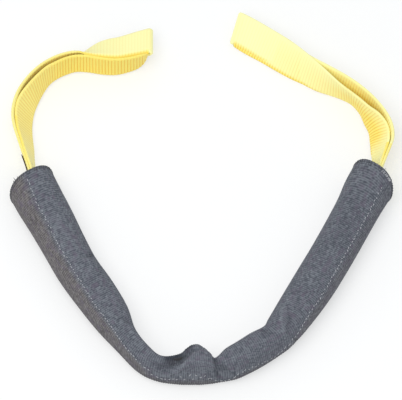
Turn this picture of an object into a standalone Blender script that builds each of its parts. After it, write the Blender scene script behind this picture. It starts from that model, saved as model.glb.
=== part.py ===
"""A webbing sling in a woven wear sleeve, laid on a flat surface in a U.

The sling is one endless strap of ribbed webbing. Both of its plies run through the sleeve,
standing on edge side by side, and at each end they part and turn back as an open eye. The
strap's two ends are lapped and tacked together inside the sleeve. The sleeve is one piece of
woven fabric, folded round and sewn along its length, and it slides along the strap.

Sizes are in metres and +Z is up. The origin is under the middle of the laid sling.
"""

import math

import bmesh
import bpy
import numpy as np
from mathutils import Matrix, Vector

# Sizes of the strap
webbing_width = 0.025
webbing_thickness = 0.0022
ply_gap = 0.0007
lap_length = 0.062
lap_start_share = 0.14
resting_lift = 0.0006
hinge_inset = 0.009
swing_angle = math.radians(24)

# Sizes of the sleeve
fabric_thickness = 0.0014
sleeve_clearance = 0.0008
sleeve_looseness = 0.012
resting_cut = 0.0005
square_share = 0.42
round_share = 0.86
rim_overhang = 0.0065
rim_slant = 0.0026
rim_taper = 0.024

# Sizes of the threads and of the label
thread_thickness = 0.0009
thread_gap = 0.0003
stitch_length = 0.0038
stitch_dip = 0.0002
seam_inset = 0.005
rim_stitch_inset = 0.0024
tack_length = 0.012
tack_edge_margin = 0.0035
tack_zigzag = 0.0022
label_thickness = 0.0007
label_width = 0.020
label_length = 0.024
label_end_margin = 0.0022

# How the sling lies, read off a photograph of it taken from 60 degrees above the surface.
# The pixel coordinates below are in that photograph's frame, and laid_width sets their scale.
laid_width = 0.293
laid_width_px = 387
middle_px = 203
front_px = 384
view_tilt = math.radians(60)
pixel = laid_width / laid_width_px

ply_pitch = webbing_thickness + ply_gap
core_half_width = ply_pitch / 2 + webbing_thickness / 2 + sleeve_clearance + fabric_thickness
core_half_height = webbing_width / 2 + sleeve_clearance + fabric_thickness
core_height = core_half_height - resting_cut

# The middle of the two plies along the sleeve, from the left mouth to the right one: across
# and down the photograph, then how far the fabric stands off the plies on the outer side of
# the U, on its inner side and above, as shares of sleeve_looseness.
SLEEVE_ROUTE_PX_AND_SHARES = (
    (31, 185, 1.15, 1.15, 0.10),
    (40, 202, 1.12, 1.13, 0.08),
    (52, 223, 1.07, 1.10, 0.06),
    (65, 247, 1.00, 1.06, 0.05),
    (78, 270, 0.96, 1.02, 0.05),
    (96, 294, 0.94, 0.95, 0.05),
    (113, 318, 0.78, 0.72, 0.05),
    (129, 340, 0.45, 0.28, 0.04),
    (145, 358, 0.32, 0.20, 0.02),
    (160, 367, 0.20, 0.14, 0.02),
    (178, 370.5, 0.11, 0.40, 0.06),
    (197, 370.5, 0.11, 1.08, 0.42),
    (210, 369.5, 0.11, 0.52, 0.20),
    (217, 368.5, 0.13, 0.14, 0.02),
    (231, 363.5, 0.38, 0.42, 0.04),
    (243, 356.5, 0.50, 0.46, 0.04),
    (257, 348.5, 0.54, 0.50, 0.04),
    (271, 340, 0.50, 0.40, 0.03),
    (280, 331.5, 0.64, 0.60, 0.04),
    (294, 313, 0.81, 0.79, 0.05),
    (313, 285, 0.95, 0.92, 0.05),
    (333, 252, 0.95, 0.92, 0.05),
    (355, 213, 0.97, 0.95, 0.06),
    (365, 194, 1.08, 1.06, 0.12),
    (373, 181, 1.12, 1.12, 0.17),
)
# Where the sewn seam runs round the section: a share of the sleeve's length, then the angle
# from the outer side of the U up towards the top.
SEAM_SHARES_AND_DEGREES = (
    (0.00, 84),
    (0.10, 70),
    (0.25, 60),
    (0.33, 44),
    (0.40, 22),
    (0.50, 8),
    (0.60, 6),
    (0.68, 14),
    (0.76, 36),
    (0.88, 44),
    (1.00, 40),
)
# The plies of each eye, from the mouth to the tip: where the strap's top edge lies across and
# down the photograph, its height as a share of webbing_width, the lean of the strap from its
# bottom edge to its top edge (90 stands on edge, less leans out, more leans in), and the
# heading of the outer side in plan. The two plies lie on each other at the tip.
LEFT_INNER_PX = (
    (34, 177, 1.068, 90, 205),
    (30, 166, 1.03, 84, 205),
    (25.4, 152, 1.0, 77, 200),
    (20.7, 138, 0.97, 69, 192),
    (17.2, 125, 0.935, 63, 185),
    (15.8, 113, 0.92, 61, 179),
    (16.8, 103.5, 0.92, 61, 172),
    (20, 95, 0.94, 64, 164),
    (26.3, 86, 0.98, 70, 152),
    (36, 75.7, 1.01, 78, 140),
    (46, 67, 1.02, 85, 128),
    (56, 61.5, 1.02, 89, 116),
    (66, 57.5, 1.02, 90, 106),
    (76, 55.6, 1.02, 90, 97),
    (88, 56, 1.02, 90, 91),
    (102, 58, 1.02, 90, 88),
    (116, 59.3, 1.0, 93, 90),
    (126, 58.3, 0.96, 98, 93),
    (134.5, 56.8, 0.89, 108, 93),
    (140, 55.6, 0.79, 126, 91),
    (143.3, 55.3, 0.70, 156, 90),
)
LEFT_OUTER_PX = (
    (30, 178, 1.068, 90, 205),
    (26, 167, 1.03, 88, 205),
    (21.4, 152, 1.01, 85, 200),
    (16.5, 138, 1.01, 84, 192),
    (13.3, 124, 1.01, 84, 185),
    (12.2, 112, 1.01, 84, 178),
    (14, 99.5, 1.01, 85, 167),
    (19.3, 87, 1.01, 87, 153),
    (29, 74, 1.01, 89, 141),
    (40, 64, 1.01, 90, 129),
    (51, 57.3, 1.01, 90, 117),
    (62, 53, 1.01, 92, 107),
    (72, 50.9, 1.01, 97, 99),
    (79, 51, 1.0, 108, 95),
    (85, 51.8, 0.99, 121, 93),
    (91.5, 53.2, 0.97, 134, 91),
    (99, 54.6, 0.93, 146, 90),
    (108, 55.8, 0.89, 155, 90),
    (118, 56.2, 0.86, 160, 90),
    (128, 55, 0.83, 164, 90),
    (137, 53.7, 0.80, 167, 90),
)
LEFT_TIP_PX = (145, 55, 0.66, 170, 90)
RIGHT_INNER_PX = (
    (375.5, 173.5, 1.068, 90, -22),
    (380.3, 163, 1.03, 84, -18),
    (383.7, 154, 0.99, 74, -10),
    (386.7, 145, 0.94, 65, -3),
    (388.2, 137, 0.90, 59, 5),
    (387.4, 128, 0.89, 58, 15),
    (383.8, 120.3, 0.92, 62, 27),
    (377, 112.8, 0.98, 72, 38),
    (369, 106, 1.02, 80, 44),
    (360, 99, 1.02, 87, 49),
    (350, 91.5, 1.02, 92, 52),
    (341, 84.5, 1.02, 91, 54),
    (332.5, 76.5, 0.99, 83, 56),
    (321.5, 65.5, 0.94, 68, 58),
    (306, 51.5, 0.87, 54, 59),
    (291, 40, 0.77, 44, 60),
    (275, 30, 0.68, 35, 62),
    (260, 21, 0.62, 28, 66),
    (250, 15.5, 0.61, 25, 69),
)
RIGHT_OUTER_PX = (
    (379.5, 174.5, 1.068, 90, -22),
    (384.1, 164.5, 1.03, 88, -18),
    (388, 155, 1.01, 85, -10),
    (391.2, 145.5, 1.01, 84, -2),
    (393, 136.5, 1.01, 84, 6),
    (392, 126.5, 1.01, 83, 15),
    (388, 116.5, 1.01, 82, 26),
    (380.5, 106, 1.01, 81, 37),
    (369.5, 94.5, 1.0, 79, 44),
    (356, 83.5, 0.99, 76, 50),
    (343, 74.5, 0.97, 72, 54),
    (330, 66.5, 0.93, 66, 57),
    (316, 58.5, 0.86, 58, 58),
    (303, 51, 0.78, 51, 59),
    (289, 42, 0.67, 43, 60),
    (274, 32, 0.57, 35, 62),
    (259, 23, 0.52, 28, 66),
    (249, 17, 0.50, 25, 69),
)
RIGHT_TIP_PX = (243, 12, 0.61, 23, 72)

tube_sides = 24
tube_steps = 3
strap_steps = 3
fold_steps = 6


def on_table(across_px, down_px, height):
    """The place at a height that the photograph shows at a pixel."""
    y = ((front_px - down_px) * pixel - height * math.cos(view_tilt)) / math.sin(view_tilt)
    return np.array([(across_px - middle_px) * pixel, y, height])


def smooth(rows, steps):
    """Rows of numbers run through by a smooth curve, with some steps from each to the next."""
    rows = np.asarray(rows, float)
    before = np.vstack([2 * rows[0] - rows[1], rows[:-1]])
    after = np.vstack([rows[1:], 2 * rows[-1] - rows[-2]])
    slopes = (after - before) / 2
    made = []
    for i in range(len(rows) - 1):
        for t in np.arange(steps) / steps:
            made.append(
                (1 + 2 * t) * (1 - t) ** 2 * rows[i]
                + t * (1 - t) ** 2 * slopes[i]
                + t**2 * (3 - 2 * t) * rows[i + 1]
                + t**2 * (t - 1) * slopes[i + 1]
            )
    return np.array(made + [rows[-1]])


def unit(vectors):
    return vectors / np.linalg.norm(vectors, axis=-1, keepdims=True)


def directions(points):
    """The direction of travel at each point of a line."""
    return unit(np.gradient(points, axis=0))


def lengths(points):
    """How far along a line each of its points lies."""
    steps = np.linalg.norm(np.diff(points, axis=0), axis=1)
    return np.concatenate([[0], np.cumsum(steps)])


def at(distance, along, values):
    """Values given along a line, read at a distance along it."""
    return np.array([np.interp(distance, along, column) for column in values.T]).T


def make_piece(name, points, faces, material):
    """A named object from its points and faces, with its faces turned outwards."""
    mesh = bpy.data.meshes.new(name)
    mesh.from_pydata([tuple(point) for point in points], [], faces)
    shape = bmesh.new()
    shape.from_mesh(mesh)
    bmesh.ops.recalc_face_normals(shape, faces=shape.faces)
    shape.to_mesh(mesh)
    shape.free()
    mesh.materials.append(material)
    piece = bpy.data.objects.new(name, mesh)
    bpy.context.scene.collection.objects.link(piece)
    return piece


def lofted_faces(sections, sides):
    """Faces of a closed solid through sections of so many points each, with flat ends."""
    faces = []
    for i in range(sections - 1):
        for j in range(sides):
            k = (j + 1) % sides
            faces.append((i * sides + j, i * sides + k, (i + 1) * sides + k, (i + 1) * sides + j))
    faces.append(tuple(range(sides)))
    faces.append(tuple(range((sections - 1) * sides, sections * sides)))
    return faces


def make_strap(name, centres, widthways, width, thickness, material):
    """A flat strap along its centres, with the direction across it given at each of them."""
    flat = unit(np.cross(directions(centres), widthways))
    across = widthways * width / 2
    through = flat * thickness / 2
    corners = np.stack(
        [
            centres - across - through,
            centres + across - through,
            centres + across + through,
            centres - across + through,
        ],
        axis=1,
    )
    points = corners.reshape(-1, 3)
    return make_piece(name, points, lofted_faces(len(centres), 4), material)


def make_thread(name, points, material):
    """A round thread along its points."""
    path = bpy.data.curves.new(name, "CURVE")
    path.dimensions = "3D"
    path.bevel_depth = thread_thickness / 2
    path.bevel_resolution = 0
    path.use_fill_caps = True
    spline = path.splines.new("POLY")
    spline.points.add(len(points) - 1)
    for place, point in zip(spline.points, points):
        place.co = (*point, 1)
    path.materials.append(material)
    piece = bpy.data.objects.new(name, path)
    bpy.context.scene.collection.objects.link(piece)
    return piece


def make_material(name, colour, roughness):
    material = bpy.data.materials.new(name)
    material.use_nodes = True
    shader = material.node_tree.nodes["Principled BSDF"]
    shader.inputs["Base Color"].default_value = (*colour, 1)
    shader.inputs["Roughness"].default_value = roughness
    shader.inputs["Metallic"].default_value = 0
    return material


def make_materials():
    return {
        "webbing": make_material("yellow_webbing", (0.92, 0.76, 0.26), 0.6),
        "fabric": make_material("grey_sleeve_fabric", (0.12, 0.125, 0.145), 0.85),
        "seam": make_material("grey_seam_thread", (0.34, 0.35, 0.38), 0.7),
        "tack": make_material("yellow_tack_thread", (0.80, 0.62, 0.18), 0.6),
        "label": make_material("blank_black_label", (0.03, 0.025, 0.03), 0.5),
    }


# The route that the sleeve and the plies in it share


def sleeve_route():
    """The middle of the plies in the sleeve, its sections and the outer side's direction."""
    rows = smooth(SLEEVE_ROUTE_PX_AND_SHARES, tube_steps)
    centres = np.array([on_table(row[0], row[1], core_height) for row in rows])
    headings = directions(centres)
    outward = np.column_stack([headings[:, 1], -headings[:, 0], np.zeros(len(rows))])
    return {
        "centres": centres,
        "headings": headings,
        "outward": unit(outward),
        "shares": rows[:, 2:],
        "along": lengths(centres),
    }


def route_at(route, distance):
    """A place on the route, with its heading, its outer side and its fabric's shares."""
    along = route["along"]
    return {
        "centre": at(distance, along, route["centres"]),
        "heading": unit(at(distance, along, route["headings"])),
        "outward": unit(at(distance, along, route["outward"])),
        "shares": at(distance, along, route["shares"]),
    }


def section_point(place, angle, wall_inset, rim_share):
    """A point of the fabric round the plies, at an angle from the outer side to the top.

    wall_inset goes in from the outer face, and rim_share says how much of the mouth's slant
    and overhang the point takes, below zero at the mouth that the route starts from.
    """
    outer, inner, above = place["shares"]
    side_share = outer if math.cos(angle) > 0 else inner
    half_width = core_half_width + side_share * sleeve_looseness - wall_inset
    half_height = core_half_height - wall_inset
    if math.sin(angle) > 0:
        half_height += above * sleeve_looseness
    forward = rim_share * (rim_overhang * math.sin(angle) - rim_slant * math.cos(angle))
    roundness = square_share + (round_share - square_share) * min(1, side_share)
    sideways = half_width * math.copysign(abs(math.cos(angle)) ** roundness, math.cos(angle))
    upward = half_height * math.copysign(abs(math.sin(angle)) ** roundness, math.sin(angle))
    point = place["centre"] + place["outward"] * sideways
    point = point + np.array([0, 0, upward])
    point = point + place["heading"] * forward
    if wall_inset <= 0:
        point[2] = max(point[2], 0)
    return point


def rim_share_at(distance, sleeve_length):
    """How much of the mouths' slant applies there: -1 at the first mouth, 1 at the last."""
    to_start = max(0, 1 - distance / rim_taper)
    to_end = max(0, 1 - (sleeve_length - distance) / rim_taper)
    return to_end - to_start


def make_sleeve(route, material):
    """The woven tube, with its open mouths, its creases and the flat that it rests on."""
    half_side = math.pi / tube_sides
    angles = [half_side + 2 * half_side * side for side in range(tube_sides)]
    points = []
    for distance in route["along"]:
        place = route_at(route, distance)
        rim_share = rim_share_at(distance, route["along"][-1])
        for wall_inset in (0, fabric_thickness):
            for angle in angles:
                points.append(section_point(place, angle, wall_inset, rim_share))
    sections = len(route["along"])
    ring = 2 * tube_sides
    faces = []
    for i in range(sections - 1):
        for wall in (0, tube_sides):
            for j in range(tube_sides):
                k = (j + 1) % tube_sides
                start = i * ring + wall
                faces.append((start + j, start + k, start + ring + k, start + ring + j))
    for start in (0, (sections - 1) * ring):
        for j in range(tube_sides):
            k = (j + 1) % tube_sides
            faces.append((start + j, start + k, start + tube_sides + k, start + tube_sides + j))
    return make_piece("sleeve_tube", points, faces, material)


def make_seam(route, material):
    """The row of stitches that closes the sleeve, lying along its outside."""
    seam = np.array(SEAM_SHARES_AND_DEGREES)
    sleeve_length = route["along"][-1]
    stitches = int((sleeve_length - 2 * seam_inset) / stitch_length)
    stand_off = thread_gap + thread_thickness / 2
    points = []
    for i, distance in enumerate(np.linspace(seam_inset, sleeve_length - seam_inset, 2 * stitches)):
        place = route_at(route, distance)
        angle = math.radians(np.interp(distance / sleeve_length, seam[:, 0], seam[:, 1]))
        rim_share = rim_share_at(distance, sleeve_length)
        height = stand_off + (stitch_dip if i % 4 in (1, 2) else 0)
        points.append(section_point(place, angle, -height, rim_share))
    return make_thread("sleeve_seam_thread", points, material)


def make_rim_stitches(name, route, from_start, material):
    """The thread that binds a mouth's cut edge, open underneath where the sleeve rests."""
    sleeve_length = route["along"][-1]
    distance = rim_stitch_inset if from_start else sleeve_length - rim_stitch_inset
    place = route_at(route, distance)
    rim_share = rim_share_at(distance, sleeve_length)
    stand_off = thread_gap + thread_thickness / 2
    first_angle, last_angle, turns = math.radians(-52), math.radians(232), 48
    points = []
    for i, angle in enumerate(np.linspace(first_angle, last_angle, turns)):
        height = stand_off + (stitch_dip if i % 2 else 0)
        points.append(section_point(place, angle, -height, rim_share))
    return make_thread(name, points, material)


# The strap


def make_run(name, route, side, material):
    """One ply inside the sleeve, on edge, ending just short of both eyes' hinges."""
    hinge_gap = hinge_clearance()
    first = hinge_inset + hinge_gap / 2
    last = route["along"][-1] - hinge_inset - hinge_gap / 2
    inside = [d for d in route["along"] if first < d < last]
    centres = ply_places(route, [first, *inside, last], side * ply_pitch / 2)
    upright = np.tile([0, 0, 1.0], (len(centres), 1))
    return make_strap(name, centres, upright, webbing_width, webbing_thickness, material)


def ply_places(route, distances, offset):
    """Places along the route, moved off it towards the outer side."""
    places = [route_at(route, distance) for distance in distances]
    return np.array([place["centre"] + place["outward"] * offset for place in places])


def hinge_clearance():
    """The gap that lets two straight ends of the pair of plies swing without touching."""
    half_stack = ply_pitch / 2 + webbing_thickness / 2
    needed = 2 * half_stack * math.sin(swing_angle) / (1 + math.cos(swing_angle))
    return needed + stitch_dip / 2


def width_direction(lean, heading):
    """The direction from a strap's bottom edge to its top edge, and its outer side's."""
    flat = np.array([math.cos(heading), math.sin(heading), 0])
    up = np.array([0, 0, 1.0])
    return (
        flat * math.cos(lean) + up * math.sin(lean),
        flat * math.sin(lean) - up * math.cos(lean),
    )


def strap_stations(rows):
    """Centres and width directions of a ply, from the table that places its top edge."""
    centres, widthways = [], []
    for across_px, down_px, height_share, lean, heading in rows:
        top = on_table(across_px, down_px, height_share * webbing_width)
        along_width, face = width_direction(math.radians(lean), math.radians(heading))
        centre = top - along_width * webbing_width / 2
        reach = abs(along_width[2]) * webbing_width / 2 + abs(face[2]) * webbing_thickness / 2
        centre[2] = max(centre[2], reach + resting_lift)
        centres.append(centre)
        widthways.append(along_width)
    return np.array(centres), np.array(widthways)


def eye_stations(route, inner_rows, outer_rows, tip_row, at_start):
    """The eye's strap from its hinge along the inner ply, round the tip and back."""
    hinge_gap = hinge_clearance()
    hinge = hinge_inset - hinge_gap / 2
    distance = hinge if at_start else route["along"][-1] - hinge
    upright = np.array([[0, 0, 1.0]])
    inner, inner_width = strap_stations((*inner_rows, tip_row))
    outer, outer_width = strap_stations(outer_rows[::-1])
    _, face = width_direction(math.radians(tip_row[3]), math.radians(tip_row[4]))
    middle = inner[-1] + face * ply_pitch / 2
    ahead = np.cross(inner_width[-1], face)
    ahead = ahead * np.sign(ahead @ (inner[-1] - inner[-3]))
    bend = np.linspace(0, math.pi, fold_steps + 1)[1:-1]
    fold = [middle + ply_pitch / 2 * (math.sin(a) * ahead - math.cos(a) * face) for a in bend]
    outer = np.vstack([middle + face * ply_pitch / 2, outer])
    outer_width = np.vstack([inner_width[-1], outer_width])
    inner = np.vstack([ply_places(route, [distance], -ply_pitch / 2), inner])
    inner_width = np.vstack([upright, inner_width])
    outer = np.vstack([outer, ply_places(route, [distance], ply_pitch / 2)])
    outer_width = np.vstack([outer_width, upright])
    centres = [smooth(inner, strap_steps), np.array(fold), smooth(outer, strap_steps)]
    widths = [
        smooth(inner_width, strap_steps),
        np.tile(inner_width[-1], (len(fold), 1)),
        smooth(outer_width, strap_steps),
    ]
    return np.vstack(centres), unit(np.vstack(widths))


def make_eye(name, stations, material):
    return make_strap(name, *stations, webbing_width, webbing_thickness, material)


def make_lap(route, material):
    """The strap's other end, lying on the inner ply where the two are tacked together."""
    start = lap_start_share * route["along"][-1]
    distances = np.linspace(start, start + lap_length, 12)
    centres = ply_places(route, distances, -1.5 * ply_pitch)
    upright = np.tile([0, 0, 1.0], (len(centres), 1))
    return make_strap("webbing_lap_end", centres, upright, webbing_width, webbing_thickness, material)


def make_tack(name, route, share, material):
    """One zigzag tack across the lap, lying on the face of the lapped end."""
    middle = lap_start_share * route["along"][-1] + share * lap_length
    face = 2 * ply_pitch - ply_gap / 2 + thread_gap + thread_thickness / 2
    rows = int(tack_length / tack_zigzag)
    distances = middle - tack_length / 2 + tack_length / rows * np.arange(rows + 1)
    reach = webbing_width / 2 - tack_edge_margin
    points = ply_places(route, distances, -face)
    points[::2, 2] += reach
    points[1::2, 2] -= reach
    return make_thread(name, points, material)


def label_stations(stations):
    """The label's place on the outer face of the left eye's outer ply, from the hinge out."""
    centres, widthways = stations
    centres, widthways = centres[::-1], widthways[::-1]
    along = lengths(centres)
    distances = np.linspace(label_end_margin / 2, label_length, 10)
    middle = at(distances, along, centres)
    across = unit(at(distances, along, widthways))
    face = unit(np.cross(directions(middle), across))
    left_side = np.array([-1.0, 0, 0])
    face = face * np.sign(face @ left_side)[:, None]
    return middle, across, face


def make_label(stations, material):
    middle, across, face = label_stations(stations)
    stand_off = webbing_thickness / 2 + thread_gap + label_thickness / 2
    centres = middle + face * stand_off
    return make_strap("blank_label", centres, across, label_width, label_thickness, material)


def make_label_stitches(stations, material):
    """The row of stitches across the label's outer end."""
    middle, across, face = label_stations(stations)
    stand_off = webbing_thickness / 2 + 2 * thread_gap + label_thickness + thread_thickness / 2
    along = lengths(middle)
    end = along[-1] - label_end_margin
    centre = at(end, along, middle + face * stand_off)
    rise = unit(at(end, along, across))
    reach = label_width / 2 - label_end_margin / 2
    out = unit(at(end, along, face))
    points = []
    for i, height in enumerate(np.linspace(-reach, reach, 9)):
        points.append(centre + rise * height + out * (stitch_dip if i % 2 else 0))
    return make_thread("label_stitches", points, material)


# What moves together, and the pivots


def make_pivot(name, place, parent=None):
    pivot = bpy.data.objects.new(name, None)
    pivot.empty_display_size = webbing_width
    bpy.context.scene.collection.objects.link(pivot)
    pivot.parent = parent
    pivot.location = place - parent.location if parent else place
    return pivot


def hang_on(pivot, pivot_place, pieces):
    """Gives pieces their origin at a pivot, and leaves them where they are."""
    for piece in pieces:
        piece.data.transform(Matrix.Translation(-pivot_place))
        piece.parent = pivot


def slide_centre(route):
    """The centre of the circle through both mouths and the front of the U."""
    first, last = (Vector(route["centres"][i]) for i in (0, -1))
    front = Vector(min(route["centres"], key=lambda centre: centre[1]))
    chord, rise = last - first, front - first
    normal = chord.cross(rise)
    to_centre = (chord.length_squared * rise - rise.length_squared * chord).cross(normal)
    return first + to_centre / (2 * normal.length_squared)


def centre_pieces(pieces, places):
    """Moves everything so that the origin is under the middle of the laid sling."""
    bpy.context.view_layer.update()
    low, high = Vector((math.inf,) * 3), Vector((-math.inf,) * 3)
    for piece in pieces:
        for corner in piece.bound_box:
            low = Vector(map(min, low, corner))
            high = Vector(map(max, high, corner))
    shift = Vector((-(low.x + high.x) / 2, -(low.y + high.y) / 2, 0))
    for piece in pieces:
        piece.data.transform(Matrix.Translation(shift))
    return {name: place + shift for name, place in places.items()}


def main():
    for piece in list(bpy.data.objects):
        bpy.data.objects.remove(piece)
    materials = make_materials()
    route = sleeve_route()

    sleeve = [
        make_sleeve(route, materials["fabric"]),
        make_seam(route, materials["seam"]),
        make_rim_stitches("left_rim_thread", route, True, materials["seam"]),
        make_rim_stitches("right_rim_thread", route, False, materials["seam"]),
    ]
    run = [
        make_run("webbing_outer_ply", route, 1, materials["webbing"]),
        make_run("webbing_inner_ply", route, -1, materials["webbing"]),
        make_lap(route, materials["webbing"]),
    ]
    for letter, share in zip("abc", (0.2, 0.5, 0.8)):
        run.append(make_tack("lap_tack_" + letter, route, share, materials["tack"]))
    left = eye_stations(route, LEFT_INNER_PX, LEFT_OUTER_PX, LEFT_TIP_PX, True)
    right = eye_stations(route, RIGHT_INNER_PX, RIGHT_OUTER_PX, RIGHT_TIP_PX, False)
    left_eye = [
        make_eye("left_eye_webbing", left, materials["webbing"]),
        make_label(left, materials["label"]),
        make_label_stitches(left, materials["seam"]),
    ]
    right_eye = [make_eye("right_eye_webbing", right, materials["webbing"])]

    places = {
        "slide": slide_centre(route),
        "left": Vector(route_at(route, hinge_inset)["centre"]),
        "right": Vector(route_at(route, route["along"][-1] - hinge_inset)["centre"]),
    }
    places = centre_pieces(sleeve + run + left_eye + right_eye, places)
    strap_pivot = make_pivot("strap_slide_pivot", places["slide"])
    hang_on(strap_pivot, places["slide"], run)
    hang_on(make_pivot("left_eye_pivot", places["left"], strap_pivot), places["left"], left_eye)
    hang_on(make_pivot("right_eye_pivot", places["right"], strap_pivot), places["right"], right_eye)
    for name, place in places.items():
        print(name, [round(value, 6) for value in place])
    print("sleeve length", round(route["along"][-1], 4))


main()
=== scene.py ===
"""A yellow webbing sling in its grey woven wear sleeve, laid in a U on a pale surface."""

import math

import bpy
import numpy as np
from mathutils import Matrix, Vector


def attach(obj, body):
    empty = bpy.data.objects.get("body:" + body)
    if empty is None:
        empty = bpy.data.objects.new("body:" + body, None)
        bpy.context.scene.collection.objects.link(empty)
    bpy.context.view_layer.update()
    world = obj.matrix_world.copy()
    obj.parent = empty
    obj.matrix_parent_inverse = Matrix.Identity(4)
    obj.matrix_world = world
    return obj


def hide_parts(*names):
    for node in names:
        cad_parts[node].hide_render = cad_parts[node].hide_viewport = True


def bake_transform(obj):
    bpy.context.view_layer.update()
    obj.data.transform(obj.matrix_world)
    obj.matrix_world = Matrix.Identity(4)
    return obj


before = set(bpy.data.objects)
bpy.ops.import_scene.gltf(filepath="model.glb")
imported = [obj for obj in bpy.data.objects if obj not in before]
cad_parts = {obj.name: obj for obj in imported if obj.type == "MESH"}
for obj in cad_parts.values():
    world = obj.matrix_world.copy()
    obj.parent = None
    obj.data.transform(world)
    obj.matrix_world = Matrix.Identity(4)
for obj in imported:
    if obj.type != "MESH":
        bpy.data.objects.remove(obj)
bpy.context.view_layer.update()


# Camera, surface and light.
# The sling lies on a white surface, seen from 60 degrees above it and lit softly from the
# left, so that its shadows fall thinly to the right of each piece.
PHOTO_WIDTH, PHOTO_HEIGHT = 402, 400
PIXEL = 0.293 / 387
TILT = math.radians(60)
MIDDLE_PX, FRONT_PX = 203, 384
PHOTO_SHIFT = np.array([0.00082, -0.15709, 0.0])
LENS, SENSOR = 1700, 36


def on_table(px, py, z):
    """The place at height z that shows at a pixel of the photograph. px, py and z may be arrays."""
    px, py, z = np.broadcast_arrays(*(np.asarray(v, float) for v in (px, py, z)))
    y = ((FRONT_PX - py) * PIXEL - z * math.cos(TILT)) / math.sin(TILT)
    return np.stack([(px - MIDDLE_PX) * PIXEL, y, z], axis=-1) + PHOTO_SHIFT


scene = bpy.context.scene
camera_data = bpy.data.cameras.new("camera")
camera_data.lens = LENS
camera_data.sensor_width = SENSOR
camera = bpy.data.objects.new("camera", camera_data)
scene.collection.objects.link(camera)
distance = PHOTO_WIDTH * PIXEL / (SENSOR / LENS)
aim = Vector(on_table(PHOTO_WIDTH / 2, PHOTO_HEIGHT / 2, 0.012))
camera.location = aim + Vector((0, -math.cos(TILT), math.sin(TILT))) * distance
camera.rotation_euler = (math.pi / 2 - TILT, 0, 0)
camera_data.clip_start, camera_data.clip_end = 0.1, distance * 3
scene.camera = camera

scene.view_settings.view_transform = "Standard"
world = bpy.data.worlds.new("world")
world.use_nodes = True
WORLD_STRENGTH, FLOOR_WHITE = 0.73, 0.55
world.node_tree.nodes["Background"].inputs["Color"].default_value = (0.93, 0.97, 1.0, 1)
scene.world = world


def add_area(name, place, size, watts, colour):
    light = bpy.data.lights.new(name, "AREA")
    light.shape = "DISK"
    light.size = size
    light.energy = watts
    light.color = colour
    lamp = bpy.data.objects.new(name, light)
    scene.collection.objects.link(lamp)
    lamp.location = place
    lamp.rotation_mode = "QUATERNION"
    lamp.rotation_quaternion = (-Vector(place)).to_track_quat("-Z", "Y")
    return lamp


add_area("window", (-0.35, -0.45, 1.45), 1.3, 12.5, (1.0, 0.99, 0.97))


class Sock:
    """A shader socket that can be added, multiplied and so on."""

    def __init__(self, tree, socket):
        self.tree, self.socket = tree, socket

    def node(self, kind, settings=(), **inputs):
        """Makes a node, sets its settings and then its sockets, and gives its first output."""
        made = self.tree.nodes.new(kind)
        for key, value in dict(settings).items():
            setattr(made, key, value)
        for key, value in inputs.items():
            self.join(made.inputs[key.replace("_", " ")], value)
        return Sock(self.tree, made.outputs[0])

    def join(self, target, value):
        if isinstance(value, Sock):
            self.tree.links.new(value.socket, target)
        elif isinstance(value, bpy.types.NodeSocket):
            self.tree.links.new(value, target)
        else:
            target.default_value = value

    def math(self, operation, *values):
        made = self.tree.nodes.new("ShaderNodeMath")
        made.operation = operation
        for target, value in zip(made.inputs, values):
            self.join(target, value)
        return Sock(self.tree, made.outputs[0])

    def mix(self, first, second):
        """Goes from the first colour to the second as this goes from 0 to 1."""
        made = self.tree.nodes.new("ShaderNodeMix")
        made.data_type = "RGBA"
        self.join(made.inputs[0], self)
        self.join(made.inputs[6], first)
        self.join(made.inputs[7], second)
        return Sock(self.tree, made.outputs[2])

    def ramp(self, low, high):
        """0 below low, 1 above high, and smooth between them."""
        made = self.tree.nodes.new("ShaderNodeMapRange")
        made.interpolation_type = "SMOOTHSTEP"
        for target, value in zip(made.inputs, (self, low, high, 0.0, 1.0)):
            self.join(target, value)
        return Sock(self.tree, made.outputs[0])

    def __add__(self, other):
        return self.math("ADD", self, other)

    def __mul__(self, other):
        return self.math("MULTIPLY", self, other)

    __radd__, __rmul__ = __add__, __mul__


def new_material(name, colour, roughness, sheen=0.0):
    """A material, its Principled shader, and a start for its nodes."""
    material = bpy.data.materials.new(name)
    material.use_nodes = True
    shader = material.node_tree.nodes["Principled BSDF"]
    shader.inputs["Base Color"].default_value = (*colour, 1)
    shader.inputs["Roughness"].default_value = roughness
    shader.inputs["Specular IOR Level"].default_value = 0.25
    shader.inputs["Sheen Weight"].default_value = sheen
    return material, shader, Sock(material.node_tree, None)


def seen_directly(tree):
    """1 where the camera sees a thing straight or through metal or glass, and 0 where it lights."""
    paths = tree.nodes.new("ShaderNodeLightPath").outputs
    seen = Sock(tree, paths["Is Camera Ray"]) + Sock(tree, paths["Is Glossy Ray"])
    return seen + Sock(tree, paths["Is Transmission Ray"])


world_light = Sock(world.node_tree, None)
world_strength = seen_directly(world.node_tree) * (1 - WORLD_STRENGTH) + WORLD_STRENGTH
world_light.join(world.node_tree.nodes["Background"].inputs["Strength"], world_strength)

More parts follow.
